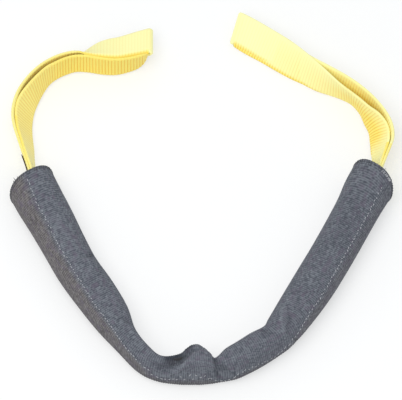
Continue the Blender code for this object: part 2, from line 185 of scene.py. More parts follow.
floor_material, floor_shader, start = new_material("pale_surface", (0.93, 0.93, 0.93), 0.9)
seen = seen_directly(start.tree)
white = start.node("ShaderNodeEmission", Color=(1, 1, 1, 1), Strength=1.0)
surface_mix = start.tree.nodes.new("ShaderNodeMixShader")
for target, value in zip(surface_mix.inputs, (seen * FLOOR_WHITE, floor_shader.outputs["BSDF"], white)):
    start.join(target, value)
start.join(start.tree.nodes["Material Output"].inputs["Surface"], surface_mix.outputs[0])
floor_mesh = bpy.data.meshes.new("surface")
FLOOR_REACH, FLOOR_HEIGHT = 4, -0.0004
floor_sides = [(-1, -1), (1, -1), (1, 1), (-1, 1)]
floor_corners = [(x * FLOOR_REACH, y * FLOOR_REACH, FLOOR_HEIGHT) for x, y in floor_sides]
floor_mesh.from_pydata(floor_corners, [], [(0, 1, 2, 3)])
floor_mesh.materials.append(floor_material)
floor = bpy.data.objects.new("surface", floor_mesh)
scene.collection.objects.link(floor)


# The sleeve.
# One piece of coarse ribbed polyester, woven with its ribs running round the tube, folded
# round the two plies of the strap and creased where the U bends.
PLY_PITCH, PLIES_HALF_WIDTH, PLIES_HALF_HEIGHT = 0.0029, 0.0025, 0.0125
SLACK, FABRIC_THICKNESS, PRESSED_FLAT = 0.0008, 0.0014, 0.0005
CORE_HALF_WIDTH = PLIES_HALF_WIDTH + SLACK + FABRIC_THICKNESS
CORE_HALF_HEIGHT = PLIES_HALF_HEIGHT + SLACK + FABRIC_THICKNESS
CORE_HEIGHT = CORE_HALF_HEIGHT - PRESSED_FLAT
WALL = 0.0013
LOOSENESS = 0.012
LEFT_OVERHANG, RIGHT_OVERHANG, RIM_SLANT, RIM_TAPER = 0.0045, 0.0065, 0.0026, 0.024
RIB_PITCH, RIB_HEIGHT = 0.00162, 0.00015
YARN_PITCH = 0.0014
RING_STEP, RING_SIDES = 0.00027, 112
# across, down, then the fabric's stand-off outside, inside and above, shares of LOOSENESS
SLEEVE_ROUTE = (
    (31, 185, 1.15, 1.15, 0.10),
    (40, 202, 1.12, 1.13, 0.08),
    (52, 223, 1.05, 1.07, 0.06),
    (65, 247, 0.97, 0.99, 0.05),
    (78, 270, 0.93, 0.95, 0.05),
    (96, 294, 0.94, 0.90, 0.05),
    (113, 318, 0.78, 0.72, 0.05),
    (129, 340, 0.45, 0.18, 0.00),
    (145, 358, 0.32, 0.10, -0.06),
    (160, 367, 0.15, 0.04, -0.14),
    (178, 370.5, 0.06, 0.46, 0.06),
    (187, 371, 0.05, 1.00, 0.39),
    (193, 371, 0.05, 1.23, 0.51),
    (200, 371, 0.05, 1.23, 0.53),
    (206, 370.5, 0.05, 0.97, 0.40),
    (211, 370, 0.05, 0.50, 0.16),
    (217, 369, 0.05, 0.03, -0.10),
    (231, 363.5, 0.34, 0.42, 0.02),
    (243, 356.5, 0.50, 0.44, 0.02),
    (257, 348.5, 0.54, 0.50, 0.02),
    (271, 340, 0.50, 0.40, 0.02),
    (280, 331.5, 0.64, 0.60, 0.04),
    (294, 313, 0.81, 0.79, 0.05),
    (313, 285, 0.95, 0.92, 0.05),
    (333, 252, 0.98, 0.92, 0.05),
    (355, 213, 1.00, 0.95, 0.06),
    (365, 194, 1.08, 1.06, 0.10),
    (373, 181, 1.12, 1.12, 0.14),
)
# How the fabric is folded: each fold's reach in millimetres, whether it goes straight down,
# and its line, as places in the photograph with the move there in millimetres (in is minus).
FOLDS = (
    (3.2, True, (
        (168, 360, -2.5), (174, 359.3, -8.5), (180, 357.8, -9.5), (186, 354, -8), (190, 350, -4.5),
    )),
    (1.7, False, (
        (194, 347, 0.3), (192, 351.5, 1.6), (188.5, 357, 2.1), (184.6, 363, 2.1), (176.5, 370, 1.5),
    )),
    (1.6, False, ((176.5, 370, 1.0), (168, 372.8, 0.9), (156, 373.5, 0.3))),
    (2.8, False, ((155, 362.5, -0.8), (163.3, 367.5, -2.8), (171, 367, -1.6))),
    (1.7, False, ((215.4, 358, -2.4), (216.3, 364, -1.9), (217.4, 371, -1.4), (218.4, 378.4, -0.9))),
    (1.4, False, ((206, 351.5, 0.4), (211, 360.8, 0.6), (214, 365.2, 0.4))),
    (2.6, False, ((220.5, 366, -1.6), (225.5, 369.5, -1.6))),
    (2.4, False, ((231, 350, 0.4), (236, 358, 0.5), (238, 366, 0.3))),
    (1.5, False, ((93.5, 254.5, -1.6), (90, 256.5, -1.1), (82, 256, -0.4))),
    (1.8, False, ((92, 260.5, 1.0), (85, 260, 1.0), (78, 258, 0.6))),
    (1.8, False, ((129, 320.5, -1.7), (124.5, 317.5, -1.0), (118, 314, -0.3))),
    (1.8, False, ((262.5, 329, -1.5), (266.5, 330.5, -1.0), (272, 333, -0.3))),
    (2.0, False, ((283, 309, 0.6), (283, 318, 1.3), (282.5, 328, 1.0), (284, 336, 0.3))),
    (2.2, False, ((288.5, 312, -0.4), (288.5, 321, -0.9), (288, 330, -0.7))),
    (1.8, False, ((296.5, 340, -0.9), (291, 336, -0.5), (287, 333, -0.2))),
    (9.0, False, ((54, 220, 0.5), (68, 245, 0.5))),
    (9.0, False, ((338, 240, -0.4), (352, 215, -0.4))),
)
# the top of the hump, which is painted a little lighter as a highlight
HUMP_PX = 199
# the wall at the back of the deep fold, painted dark as shade
POCKET_WALL = (
    (168, 357), (171, 356.2), (174, 355), (177, 353.5),
    (180, 351.8), (183, 350), (186, 348), (189, 346),
)


def smooth(rows, steps):
    """Rows of numbers run through by a smooth curve, with some steps from each to the next."""
    rows = np.asarray(rows, float)
    before = np.vstack([2 * rows[0] - rows[1], rows[:-1]])
    after = np.vstack([rows[1:], 2 * rows[-1] - rows[-2]])
    slopes = (after - before) / 2
    t = (np.arange(steps) / steps)[None, :, None]
    a, b = rows[:-1, None], rows[1:, None]
    p, q = slopes[:-1, None], slopes[1:, None]
    made = (1 + 2 * t) * (1 - t) ** 2 * a + t * (1 - t) ** 2 * p
    made = made + t**2 * (3 - 2 * t) * b + t**2 * (t - 1) * q
    return np.vstack([made.reshape(-1, rows.shape[1]), rows[-1:]])


def unit(v):
    """Directions of length one."""
    return v / np.linalg.norm(v, axis=-1, keepdims=True)


def lengths(points):
    """How far along a line each of its points is."""
    steps = np.linalg.norm(np.diff(points, axis=0), axis=1)
    return np.concatenate([[0], np.cumsum(steps)])


def read(where, along, values):
    """Values given along a line, read at distances along it."""
    return np.stack([np.interp(where, along, column) for column in values.T], axis=-1)


def wobble(seed, *phases):
    """A slow unevenness between -1 and 1 that depends on one or more running phases."""
    rng = np.random.default_rng(seed)
    total = 0
    for weight in (0.5, 0.3, 0.2):
        turn = rng.uniform(0, 2 * math.pi)
        total = total + weight * np.sin(sum(rng.uniform(0.6, 1.7) * p for p in phases) + turn)
    return total


route_rows = smooth(SLEEVE_ROUTE, 40)
route = on_table(route_rows[:, 0], route_rows[:, 1], CORE_HEIGHT)
route_along = lengths(route)
SLEEVE_LENGTH = route_along[-1]
route_heading = unit(np.gradient(route, axis=0))
kernel = np.hanning(61) / np.hanning(61).sum()
before, after = np.tile(route_heading[0], (30, 1)), np.tile(route_heading[-1], (30, 1))
padded_heading = np.vstack([before, route_heading, after])
route_heading = unit(np.stack([np.convolve(c, kernel, "valid") for c in padded_heading.T], axis=-1))
route_outward = np.column_stack([route_heading[:, 1], -route_heading[:, 0], np.zeros(len(route))])


def plain_skin(s, angle):
    """Places on the unfolded sleeve, and the directions square to it, s along it and angle
    round from the outer side to the top."""
    s, angle = np.broadcast_arrays(np.asarray(s, float), np.asarray(angle, float))
    outward = read(s, route_along, route_outward)
    outer, inner, above = (np.interp(s, route_along, route_rows[:, k]) for k in (2, 3, 4))
    c, d = np.cos(angle), np.sin(angle)
    side = np.where(c > 0, outer, inner)
    half_w = CORE_HALF_WIDTH + side * LOOSENESS
    half_h = CORE_HALF_HEIGHT + np.where(d > 0, above, 0) * LOOSENESS
    power = 0.42 + 0.44 * np.clip(side, 0, 1)
    power = np.where(d < 0, np.maximum(power, 0.6), power)
    x = half_w * np.sign(c) * np.abs(c) ** power
    z = half_h * np.sign(d) * np.abs(d) ** power
    nx, nz = c / half_w, d / half_h
    size = np.hypot(nx, nz)
    to_start = np.clip(1 - s / RIM_TAPER, 0, 1)
    to_end = np.clip(1 - (SLEEVE_LENGTH - s) / RIM_TAPER, 0, 1)
    overhang = to_end * RIGHT_OVERHANG - to_start * LEFT_OVERHANG
    forward = overhang * d - (to_end - to_start) * RIM_SLANT * c
    place = read(s, route_along, route) + outward * x[..., None]
    place = place + read(s, route_along, route_heading) * forward[..., None]
    place[..., 2] += z
    normal = outward * (nx / size)[..., None]
    normal[..., 2] += nz / size
    return place, normal


def shown_at(places):
    """Where places show in the photograph, across and down."""
    x, y, z = np.moveaxis(places - PHOTO_SHIFT, -1, 0)
    down = FRONT_PX - (y * math.sin(TILT) + z * math.cos(TILT)) / PIXEL
    return np.stack([x / PIXEL + MIDDLE_PX, down], axis=-1)


look_s = np.linspace(0, SLEEVE_LENGTH, 900)[:, None] + np.zeros(160)
look_a = np.linspace(-1.0, 3.4, 160)[None, :] + 0 * look_s
look_px = shown_at(plain_skin(look_s, look_a)[0])
by_s, by_a = np.gradient(look_px, axis=0), np.gradient(look_px, axis=1)
look_away = by_s[..., 0] * by_a[..., 1] - by_s[..., 1] * by_a[..., 0] >= 0


def on_skin(px, py):
    """Where on the sleeve a place in the photograph is: how far along and the angle round."""
    gap = np.hypot(look_px[..., 0] - px, look_px[..., 1] - py) + look_away * 1000
    nearest = np.unravel_index(np.argmin(gap), gap.shape)
    return look_s[nearest], look_a[nearest]


# where the stitches show in the photograph
SEAM = (
    (29, 182), (33, 192), (38, 205), (47, 220), (53, 232), (60, 247), (67, 258), (75, 272),
    (85, 287), (95, 303), (105, 316), (115, 330), (125, 345), (135, 356), (148, 368),
    (156, 375.5), (163, 377.7), (171, 378), (180, 377.3), (189, 377), (196, 375.5), (202, 375.3),
    (209, 376.5), (215, 378.4), (220.5, 379.7), (225.5, 379.6), (231, 377.7), (236, 374.8),
    (242.5, 371), (251.5, 366.7), (258, 363.7), (275, 355), (285, 347), (297, 333), (303, 322),
    (309, 312), (318, 300), (330, 280), (340, 262), (350, 245), (360, 228), (367, 215),
    (375, 200), (383, 185),
)
seam_s, seam_a = np.array(sorted(on_skin(px, py) for px, py in SEAM)).T

fold_lines = []
for reach, straight_down, rows in FOLDS:
    corners = [plain_skin(*on_skin(px, py))[0] for px, py, _ in rows]
    moves = [move / 1000 for _, _, move in rows]
    fold_lines.append((reach / 1000, straight_down, corners, moves))


def folded(places):
    """How far the folds move places of the plain skin: square to it, and straight up."""
    totals = [np.zeros(places.shape[:-1]), np.zeros(places.shape[:-1])]
    for reach, straight_down, corners, moves in fold_lines:
        nearest, move = np.full(places.shape[:-1], np.inf), 0
        for a, b, first, last in zip(corners, corners[1:], moves, moves[1:]):
            t = np.clip((places - a) @ (b - a) / ((b - a) @ (b - a)), 0, 1)
            gap = np.linalg.norm(places - a - t[..., None] * (b - a), axis=-1)
            move = np.where(gap < nearest, first + t * (last - first), move)
            nearest = np.minimum(nearest, gap)
        totals[straight_down] += move * np.exp(-((nearest / reach) ** 2))
    return totals


def sleeve_point(s, angle, lift=0.0, wall=False):
    """Places on the sleeve's outer or inner skin, lifted off it by a distance."""
    place, normal = plain_skin(s, angle)
    square, upward = folded(place)
    place = place + normal * (square + lift - (WALL if wall else 0))[..., None]
    place[..., 2] = np.maximum(place[..., 2] + upward, WALL if wall else 0.00005)
    return place


def build(name, points, faces, material, smooth_faces=True, **attributes):
    """An object from its points and faces, with numbers stored on its points for the shader."""
    mesh = bpy.data.meshes.new(name)
    mesh.from_pydata(points.tolist(), [], faces)
    mesh.materials.append(material)
    for key, values in attributes.items():
        stored = mesh.attributes.new(key, "FLOAT", "POINT")
        stored.data.foreach_set("value", np.asarray(values, np.float32).ravel())
    mesh.polygons.foreach_set("use_smooth", np.full(len(mesh.polygons), smooth_faces))
    mesh.update()
    made = bpy.data.objects.new(name, mesh)
    scene.collection.objects.link(made)
    return made


def grid_faces(rows, columns, start=0, closed=True, turned=False):
    """Quads between the points of a grid, whose rows may close on themselves."""
    faces = []
    last = columns if closed else columns - 1
    for i in range(rows - 1):
        for j in range(last):
            k = (j + 1) % columns
            quad = (i * columns + j, i * columns + k, (i + 1) * columns + k, (i + 1) * columns + j)
            quad = tuple(start + v for v in quad)
            faces.append(quad[::-1] if turned else quad)
    return faces


ring_count = int(SLEEVE_LENGTH / RING_STEP) + 1
ring_s = np.linspace(0, SLEEVE_LENGTH, ring_count)[:, None]
ring_a = (np.arange(RING_SIDES) / RING_SIDES * 2 * math.pi)[None, :]
flat_shape = sleeve_point(ring_s + 0 * ring_a, ring_a + 0 * ring_s)
round_steps = np.linalg.norm(np.diff(flat_shape, axis=1, append=flat_shape[:, :1]), axis=2)
ring_c = np.cumsum(round_steps, axis=1) - round_steps
rib_bend = 0.0007 * wobble(3, ring_s / 0.02, ring_a * 2)
rib_phase = 2 * math.pi * (ring_s + rib_bend) / RIB_PITCH
rib_number = np.floor(rib_phase / (2 * math.pi))
yarn_phase = 2 * math.pi * ring_c / YARN_PITCH + math.pi * (rib_number % 2)
rng = np.random.default_rng(5)
patchy = rng.normal(0, 1, (ring_count // 6 + 2, RING_SIDES))
patchy = patchy[(ring_s[:, 0] / RIB_PITCH * 0.999).astype(int)]
lift = RIB_HEIGHT * np.cos(rib_phase) * (1 + 0.35 * np.sin(yarn_phase)) + 0.00003 * patchy
edge_fade = np.minimum(1, np.minimum(ring_s, SLEEVE_LENGTH - ring_s) / 0.002)
outer_skin = sleeve_point(ring_s + 0 * ring_a, ring_a + 0 * ring_s, lift * edge_fade)
inner_s = np.linspace(0, SLEEVE_LENGTH, 260)[:, None]
inner_skin = sleeve_point(inner_s + 0 * ring_a, ring_a + 0 * inner_s, 0, wall=True)
skin_points = np.vstack([outer_skin.reshape(-1, 3), inner_skin.reshape(-1, 3)])
inner_start = ring_count * RING_SIDES
skin_faces = grid_faces(ring_count, RING_SIDES, turned=True)
skin_faces += grid_faces(len(inner_s), RING_SIDES, inner_start)
for first, second, flip in (
    (0, inner_start, False),
    ((ring_count - 1) * RING_SIDES, inner_start + (len(inner_s) - 1) * RING_SIDES, True),
):
    for j in range(RING_SIDES):
        k = (j + 1) % RING_SIDES
        quad = (first + j, first + k, second + k, second + j)
        skin_faces.append(quad[::-1] if flip else quad)


def with_inner(values, inner=0.0):
    """Values for the outer skin's points, with one number for all of the inner skin's."""
    return np.concatenate([(values + 0 * ring_c).ravel(), np.full(inner_skin.size // 3, inner)])


fabric, fabric_shader, start = new_material("sleeve_fabric", (0.11, 0.12, 0.15), 0.9, 0.05)
fabric_shader.inputs["Specular IOR Level"].default_value = 0.12


def painted(name):
    """The shader's reading of numbers stored on the points."""
    node = start.node("ShaderNodeAttribute", {"attribute_name": name})
    return Sock(start.tree, node.socket.node.outputs["Fac"])


cool = painted("crown").mix((0.073, 0.080, 0.098, 1), (0.174, 0.186, 0.212, 1))
warm = painted("crown").mix((0.090, 0.083, 0.085, 1), (0.198, 0.184, 0.183, 1))
violet = painted("tint").mix(painted("lowness").mix(cool, warm), (0.125, 0.105, 0.142, 1))
# the painted shade darkens the fabric towards this near-black
shaded = painted("hollow").mix(violet, (0.026, 0.030, 0.040, 1))
start.join(fabric_shader.inputs["Base Color"], painted("fleck").mix(shaded, (0.27, 0.29, 0.32, 1)))
# painted shade in the rib grooves: the rib crowns are lighter and the grooves darker, with a random
# tone on top
crown_values = 0.5 + 0.38 * np.cos(rib_phase) + 0.36 * patchy + 0.2 * np.sin(yarn_phase)
past_seam = np.interp(ring_s, seam_s, seam_a) - ((ring_a + math.pi / 2) % (2 * math.pi) - math.pi / 2)
low_values = np.clip(past_seam / 0.3, 0, 1) * np.clip(1.25 - 1.1 * ring_s / SLEEVE_LENGTH, 0, 1)
fold_moves = sum(folded(flat_shape))
# painted shade: darker in the creases that the folds push in, on the wall at the back of the deep fold,
# on the underside and inside the tube
hollow_values = np.clip(1 - np.exp(np.minimum(fold_moves, 0) / 0.0018), 0, 1) * 0.75
far_wall = [plain_skin(*on_skin(px, py))[0] for px, py in POCKET_WALL]
wall_gap = np.min([np.linalg.norm(flat_shape - place, axis=-1) for place in far_wall], axis=0)
hollow_values = np.maximum(hollow_values, 0.97 * np.exp(-((wall_gap / 0.0040) ** 2)))
under_side = np.clip((-0.05 - ((ring_a + math.pi) % (2 * math.pi) - math.pi)) / 0.5, 0, 1)
hollow_values = np.maximum(hollow_values, 0.32 * under_side * (ring_a > math.pi))
hump_s = np.interp(HUMP_PX, route_rows[:, 0], route_along)
hump_highlight = 0.16 * np.exp(-(((ring_s - hump_s) / 0.010) ** 2))
# painted highlight: lighter on the ridges that the folds push out and on the top of the hump
crown_values = crown_values + np.clip(fold_moves / 0.003, 0, 0.5) + hump_highlight
blotch = rng.normal(0, 1, (ring_count // 14 + 2, RING_SIDES // 2))
blotch = np.repeat(blotch, 2, axis=1)[(ring_s[:, 0] / RING_STEP / 14.01).astype(int)]
fleck_values = np.clip(patchy - 1.5, 0, 1) * 0.5 * (np.cos(rib_phase) > 0.2)
sleeve = build(
    "sleeve_skin",
    skin_points,
    skin_faces,
    fabric,
    crown=with_inner(np.clip(crown_values, 0, 1), 0.2),
    lowness=with_inner(low_values, 1.0),
    tint=with_inner(np.clip(blotch * 0.3, 0, 0.6)),
    hollow=with_inner(hollow_values, 0.5),
    fleck=with_inner(fleck_values),
)
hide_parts("sleeve_tube")
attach(sleeve, "sleeve")


# The sleeve's seam.
# Light polyester thread, stitched through both edges of the fabric after it was folded round.
# The stitches stand a little proud and step from side to side.
STITCH_PITCH, STITCH_RADIUS, SEAM_ENDS = 0.0028, 0.00030, 0.006
TUBE_RADIUS = 0.0155


def thread(points, radius, sides=7):
    """Points and faces of a round thread with pointed ends."""
    points = np.asarray(points, float)
    heading = unit(np.gradient(points, axis=0))
    up = np.array([0.13, 0.21, 0.97])
    across = unit(np.cross(heading, up))
    other = np.cross(across, heading)
    turn = np.arange(sides) / sides * 2 * math.pi
    taper = np.full(len(points), radius)
    taper[0] = taper[-1] = radius * 0.35
    ring = across[:, None] * np.cos(turn)[None, :, None] + other[:, None] * np.sin(turn)[None, :, None]
    skin = points[:, None] + ring * taper[:, None, None]
    faces = grid_faces(len(points), sides, turned=True)
    faces.append(tuple(range(sides)))
    faces.append(tuple(reversed(range((len(points) - 1) * sides, len(points) * sides))))
    return skin.reshape(-1, 3), faces


def threads(name, paths, radius, material):
    """Many short threads as one object."""
    all_points, all_faces, base = [], [], 0
    for path in paths:
        points, faces = thread(path, radius)
        all_points.append(points)
        all_faces += [tuple(base + v for v in face) for face in faces]
        base += len(points)
    return build(name, np.vstack(all_points), all_faces, material)


def seam_angle(s):
    """Where round the tube the seam runs, at distances along it."""
    return np.interp(s, seam_s, seam_a)


rng = np.random.default_rng(11)
seam_paths = []
for i in range(int((SLEEVE_LENGTH - 2 * SEAM_ENDS) / STITCH_PITCH)):
    s0 = SEAM_ENDS + i * STITCH_PITCH + rng.uniform(-0.0005, 0.0005)
    s = s0 + np.linspace(0, STITCH_PITCH * rng.uniform(0.36, 0.6), 7)
    side = (0.0003 if i % 2 else -0.0003) + rng.uniform(-0.0003, 0.0003)
    tilt = np.linspace(-1, 1, 7) * rng.uniform(-0.0002, 0.0004)
    angle = seam_angle(s) + (side + tilt) / TUBE_RADIUS
    bulge = 0.00006 + 0.00026 * np.sin(np.linspace(0, math.pi, 7))
    seam_paths.append(sleeve_point(s, angle, bulge))
seam_thread, _, _ = new_material("seam_thread", (0.43, 0.43, 0.455), 0.75)
seam = threads("seam_stitches", seam_paths, STITCH_RADIUS, seam_thread)
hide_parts("sleeve_seam_thread")
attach(seam, "sleeve")


# The threads at the two mouths.
# Overlock thread wraps the cut edge of each mouth, and a few ends of the weave stand loose.
HEM_RADIUS, HEM_DEPTH, HEM_PROUD = 0.00028, 0.0030, 0.0003


def mouth_threads(name, node, at_start, seed, strays, pale_turns):
    """The dark overlock and its loose ends, and the turns of it where a paler thread shows."""
    rng = np.random.default_rng(seed)
    paths = []
    for turn in np.arange(-50, 230, 7.0):
        a = math.radians(turn + rng.uniform(-1.5, 1.5))
        depth = HEM_DEPTH + rng.uniform(-0.0004, 0.0004)
        s = np.array([depth, depth * 0.5, 0.0003, 0.0003, 0.0012])
        lift = np.array([0.0001, HEM_PROUD, HEM_PROUD, -WALL - HEM_PROUD, -WALL - HEM_PROUD])
        angle = a + np.array([0.0, 0.03, 0.06, 0.08, 0.09])
        paths.append(sleeve_point(s if at_start else SLEEVE_LENGTH - s, angle, lift))
    for turn in strays:
        a = math.radians(turn)
        reach = rng.uniform(0.0008, 0.0020)
        s = np.array([0.0008, 0.0, -reach * 0.5, -reach])
        edge = np.full(4, 0 if at_start else SLEEVE_LENGTH)
        base = sleeve_point(edge, np.full(4, a), -0.0006)
        heading = route_heading[0] if at_start else -route_heading[-1]
        stray = np.array([rng.uniform(-0.4, 0.4), rng.uniform(-0.2, 0.2), rng.uniform(-0.1, 0.5)])
        path = base + s[:, None] * heading + (np.maximum(-s, 0) ** 1.3 * 8)[:, None] * stray
        paths.append(path)
    dark_faces = sum(len(thread(path, HEM_RADIUS)[1]) for path in paths)
    for turn in pale_turns:
        s = np.linspace(0.0009, 0.0029, 5)
        angle = np.full(5, math.radians(turn)) + np.linspace(0, 0.05, 5)
        paths.append(sleeve_point(s if at_start else SLEEVE_LENGTH - s, angle, 0.0004))
    made = threads(name, paths, HEM_RADIUS, rim_thread)
    made.data.materials.append(seam_thread)
    pale = np.arange(len(made.data.polygons)) >= dark_faces
    made.data.polygons.foreach_set("material_index", pale.astype(np.int32))
    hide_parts(node)
    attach(made, "sleeve")


rim_thread, _, _ = new_material("rim_thread", (0.085, 0.088, 0.10), 0.8)
mouth_threads("left_mouth_threads", "left_rim_thread", True, 21, (38, 44, 52, 60), ())
PALE_TURNS = (40, 42, 44, 46.5, 49, 53, 55, 57.5, 60, 64.5, 67, 71)
mouth_threads("right_mouth_threads", "right_rim_thread", False, 22, (20, 34, 70), PALE_TURNS)


# The strap.
# Yellow polyester webbing, woven flat with bold ribs across it and a rounded selvedge at each
# edge. Both plies run through the sleeve on edge and turn back outside it as an open eye.
STRAP_WIDTH, STRAP_THICKNESS = 0.025, 0.0021
STRAP_RIB_PITCH, STRAP_RIB_HEIGHT = 0.0024, 0.00030
STRAP_STEP = 0.00043
HINGE_DEPTH, EYE_PITCH, EYE_STEPS, TIP_STEPS = 0.030, 0.00225, 12, 14
# two depths inside a mouth, at which the sleeve's middle line is read for each eye and for the label
SWING_FROM, SWING_FULL = 0.024, 0.002
POINTS_ACROSS, SELVEDGE_SHARE, SMOOTH_EDGE_SHARE = 23, 0.93, 0.88
CURL, CURLED_SHARE, EDGE_ROUND_SHARE = 0.0036, 0.24, 0.07
LEAST_HEIGHT = 0.0004
NOTCH_PX = 217
# where the bend gathers the strap up, how much of its width is drawn in and over what length
GATHERS = ((177, 0.60, 0.0215), (NOTCH_PX, 0.51, 0.0105))
FREE_SHARE = 0.95
ON_SURFACE = 0.0006
# ribs that lie square across the strap
SQUARE = ((0, 0),)
# the top edge of each ply from the mouth to the tip: across, down, its height as a share of
# the strap's width, the lean from bottom edge to top edge, the heading of the outer side, and
# how boldly the ribs show there, which also paints the strap from pale lit yellow to shaded
# amber as painted shade
LEFT_INNER = (
    (33.2, 177, 1.068, 90, 205, 0.1),
    (31, 167, 1.03, 80, 205, 0.15),
    (25.3, 152, 1.0, 74, 200, 0.3),
    (20.5, 138, 0.97, 67, 192, 0.5),
    (16.3, 125, 0.935, 62, 185, 0.65),
    (14.8, 113, 0.92, 60, 179, 0.7),
    (15.7, 103.5, 0.92, 60, 172, 0.7),
    (19, 95, 0.94, 63, 164, 0.7),
    (25.5, 86, 0.98, 69, 152, 0.75),
    (35.3, 75.3, 1.01, 77, 140, 0.8),
    (45.5, 66.4, 1.02, 84, 128, 0.85),
    (55.6, 61, 1.02, 88, 116, 0.95),
    (65.8, 56.8, 1.02, 89, 106, 1),
    (76, 54.5, 1.02, 90, 97, 1),
    (88, 55, 1.02, 90, 91, 1),
    (102, 57.2, 1.02, 90, 88, 1),
    (116, 58.8, 1.0, 92, 90, 1),
    (129, 57.8, 0.97, 95, 93, 1),
    (138, 56.6, 0.93, 99, 93, 1),
    (144, 55.6, 0.87, 107, 92, 0.95),
    (147.2, 55.2, 0.79, 124, 91, 0.8),
    (148.3, 55, 0.71, 150, 90, 0.4),
)
LEFT_OUTER = (
    (30.6, 178, 1.068, 88, 205, 0.1),
    (28.2, 168, 1.03, 79, 205, 0.1),
    (22.6, 152, 1.01, 75, 200, 0.2),
    (17.9, 138, 1.01, 75, 192, 0.3),
    (13.5, 124, 1.01, 78, 185, 0.4),
    (12.0, 112, 1.01, 81, 178, 0.6),
    (13.9, 99.5, 1.01, 83, 167, 0.6),
    (19.2, 87, 1.01, 86, 153, 0.6),
    (29, 74, 1.01, 88, 141, 0.6),
    (40, 64, 1.01, 90, 129, 0.6),
    (51, 57.3, 1.01, 90, 117, 0.6),
    (62, 53, 1.01, 92, 107, 0.6),
    (72, 50.9, 1.01, 97, 99, 0.5),
    (79, 51, 1.0, 108, 95, 0.35),
    (85, 52.6, 0.99, 121, 93, 0.3),
    (91.5, 54.6, 0.97, 134, 91, 0.1),
    (99, 56.2, 0.93, 146, 90, 0.1),
    (108, 57.4, 0.89, 155, 90, 0.1),
    (118, 57.8, 0.86, 160, 90, 0.1),
    (129, 56.2, 0.83, 164, 90, 0.05),
    (139, 54.4, 0.8, 167, 90, 0.05),
)
LEFT_TIP = (148.6, 54.8, 0.66, 168, 90, 0.1)
RIGHT_INNER = (
    (375.8, 173.5, 1.068, 90, -22, 0.1),
    (380.4, 163, 1.03, 83, -18, 0.15),
    (384.2, 154, 0.99, 72, -10, 0.15),
    (387.9, 145, 0.94, 62, -3, 0.25),
    (389.9, 137, 0.9, 56, 5, 0.5),
    (389.3, 127.8, 0.88, 55, 15, 0.95),
    (385.6, 119.6, 0.91, 59, 27, 1),
    (378.5, 111.8, 0.98, 70, 38, 1),
    (369.5, 105.6, 1.02, 81, 44, 1),
    (360.3, 98.2, 1.02, 92, 49, 0.9),
    (350.2, 90.6, 1.02, 97, 52, 0.75),
    (341, 83.6, 1.02, 93, 54, 0.6),
    (332.5, 76, 0.99, 83, 56, 0.4),
    (321.5, 65.5, 0.94, 68, 58, 0.3),
    (306, 51.5, 0.87, 54, 59, 0.2),
    (291, 40, 0.77, 44, 60, 0.1),
    (275, 30, 0.68, 35, 62, 0.05),
    (260, 21, 0.62, 28, 66, 0),
    (250, 15.5, 0.61, 25, 69, 0),
)
RIGHT_OUTER = (
    (378.2, 174.5, 1.068, 90, -22, 0.1),
    (382.5, 164.6, 1.03, 83, -18, 0.1),
    (386.6, 155, 1.01, 77, -10, 0.2),
    (390.6, 145.5, 1.01, 75, -2, 0.5),
    (393.6, 136.5, 1.01, 75, 6, 0.8),
    (393.2, 126.3, 1.01, 74, 15, 1),
    (389.4, 115.8, 1.01, 74, 26, 1),
    (382, 104.8, 1.01, 77, 37, 1),
    (371, 93, 1.0, 76, 44, 1),
    (357.5, 82, 0.99, 74, 50, 0.9),
    (344, 73.3, 0.97, 71, 54, 0.8),
    (330.5, 66, 0.93, 66, 57, 0.7),
    (316, 58.5, 0.86, 58, 58, 0.5),
    (303, 51, 0.78, 51, 59, 0.3),
    (289, 42, 0.67, 43, 60, 0.2),
    (274, 32, 0.57, 35, 62, 0.15),
    (259, 23, 0.52, 28, 66, 0.1),
    (249, 17, 0.5, 25, 69, 0.05),
)
RIGHT_TIP = (243, 12, 0.61, 23, 72, 0.05)


def width_direction(lean, heading):
    """The direction from a ply's bottom edge to its top edge, and its outer side's."""
    lean, heading = np.radians(lean), np.radians(heading)
    flat = np.stack([np.cos(heading), np.sin(heading), 0 * heading], axis=-1)
    up = np.array([0, 0, 1.0])
    c, d = np.cos(lean)[..., None], np.sin(lean)[..., None]
    return flat * c + up * d, flat * d - up * c


def stations(rows):
    """A table's places: their centres with how boldly they are ribbed and painted in shade, and width
    directions.
    """
    px, py, share, lean, heading, ribbed = np.array(rows, float).T
    widthways, face = width_direction(lean, heading)
    centre = on_table(px, py, share * STRAP_WIDTH) - widthways * STRAP_WIDTH / 2
    reach = np.abs(widthways[:, 2]) * STRAP_WIDTH / 2 + np.abs(face[:, 2]) * STRAP_THICKNESS / 2
    centre[:, 2] = np.maximum(centre[:, 2], reach + ON_SURFACE)
    return np.column_stack([centre, ribbed]), widthways


def in_sleeve(s, offset):
    """A ply in the sleeve, off its middle by a distance and pressed closer at the notch: its
    centres with how boldly it is ribbed and painted in shade, and its width directions."""
    s = np.asarray(s, float)
    notch = np.interp(NOTCH_PX, route_rows[:, 0], route_along)
    offset = offset * (1 - 0.28 * np.exp(-(((s - notch) / 0.008) ** 2)))
    outward = read(s, route_along, route_outward)
    centre = read(s, route_along, route) + outward * offset[:, None]
    return np.column_stack([centre, np.full(len(s), 0.5)]), np.tile([0, 0, 1.0], (len(s), 1))


